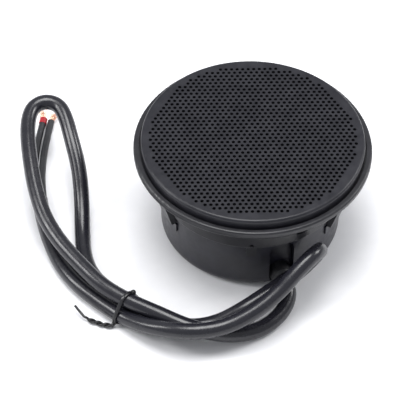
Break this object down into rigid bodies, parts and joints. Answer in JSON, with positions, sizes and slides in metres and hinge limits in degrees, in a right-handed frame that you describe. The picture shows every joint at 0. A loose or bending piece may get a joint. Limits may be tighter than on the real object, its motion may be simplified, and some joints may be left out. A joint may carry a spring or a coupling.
{
  "type": "car tweeter",
  "caption": "Round flush-mount tweeter with a perforated grille, snap-in clips on a round cup, and a jacketed cable tied in loops, stripped at its end.",
  "frame": {"origin": "centre of the cup's flat base, on the surface that the tweeter stands on", "axes": "+Z out of the grille towards the listener; the cable leaves the cup at -70 degrees from +X, near -Y"},
  "size_m": [0.1354, 0.1241, 0.046],
  "materials": {
    "cup_plastic": "satin black moulded plastic",
    "flange_plastic": "satin black moulded plastic",
    "gasket_foam": "closed-cell black foam",
    "grille_steel": "satin black powder coat on pressed steel",
    "grille_cloth": "black acoustic cloth",
    "retainer_plastic": "black plastic",
    "clip_plastic": "satin black spring plastic",
    "motor_steel": "zinc-plated steel",
    "ferrite": "dark grey ferrite",
    "felt": "grey felt",
    "dome_cloth": "coated black cloth",
    "former_foil": "thin aluminium foil",
    "coil_wire": "lacquered copper wire",
    "screw_steel": "zinc-plated steel",
    "wadding": "white polyester wadding",
    "board_laminate": "phenolic laminate",
    "tab_brass": "tinned brass",
    "capacitor_can": "sleeved electrolytic can",
    "bush_rubber": "black rubber",
    "cable_pvc": "glossy black flexible jacket",
    "core_pvc": "black flexible insulation",
    "copper": "bare copper strands",
    "sleeve_red": "red flexible sleeve",
    "tie_plastic": "black coated wire"
  },
  "bodies": {
    "housing": {"cable_bush": "bush_rubber", "cable_entry": "cable_pvc", "cable_jacket": "cable_pvc", "cable_saddle": "retainer_plastic", "copper_ends": "copper", "core_left": "core_pvc", "core_right": "core_pvc", "cup_wadding": "wadding", "faceplate": "retainer_plastic", "faceplate_screws": "screw_steel", "filter_capacitor": "capacitor_can", "flange_gasket": "gasket_foam", "grille": "grille_steel", "grille_cloth": "grille_cloth", "grille_retainer": "retainer_plastic", "lead_negative": "core_pvc", "lead_positive": "sleeve_red", "magnet_ring": "ferrite", "mounting_flange": "flange_plastic", "polarity_sleeve": "sleeve_red", "pole_felt": "felt", "pole_yoke": "motor_steel", "rear_cup": "cup_plastic", "saddle_screws": "screw_steel", "surround": "dome_cloth", "terminal_board": "board_laminate", "terminal_tabs": "tab_brass", "top_plate": "motor_steel", "twist_tail": "tie_plastic", "twist_tie": "tie_plastic"},
    "clip_1": {"retaining_clip_1": "clip_plastic"},
    "clip_2": {"retaining_clip_2": "clip_plastic"},
    "clip_3": {"retaining_clip_3": "clip_plastic"},
    "diaphragm": {"dome": "dome_cloth", "coil_former": "former_foil", "voice_coil": "coil_wire"}
  },
  "joints": [
    {"name": "clip_1_flex", "type": "hinge", "parent": "housing", "child": "clip_1", "pos_m": [0.03087, -0.01783, 0.0199], "axis": [-0.5, -0.866, 0], "range_deg": [0, 6], "stiffness_Nm_per_rad": 1.2},
    {"name": "clip_2_flex", "type": "hinge", "parent": "housing", "child": "clip_2", "pos_m": [0, 0.03565, 0.0199], "axis": [1, 0, 0], "range_deg": [0, 6], "stiffness_Nm_per_rad": 1.2},
    {"name": "clip_3_flex", "type": "hinge", "parent": "housing", "child": "clip_3", "pos_m": [-0.03087, -0.01783, 0.0199], "axis": [-0.5, 0.866, 0], "range_deg": [0, 6], "stiffness_Nm_per_rad": 1.2},
    {"name": "diaphragm_travel", "type": "slide", "parent": "housing", "child": "diaphragm", "axis": [0, 0, 1], "range_m": [-0.0005, 0.0005], "stiffness_N_per_m": 1500, "deforming": ["surround"]}
  ]
}
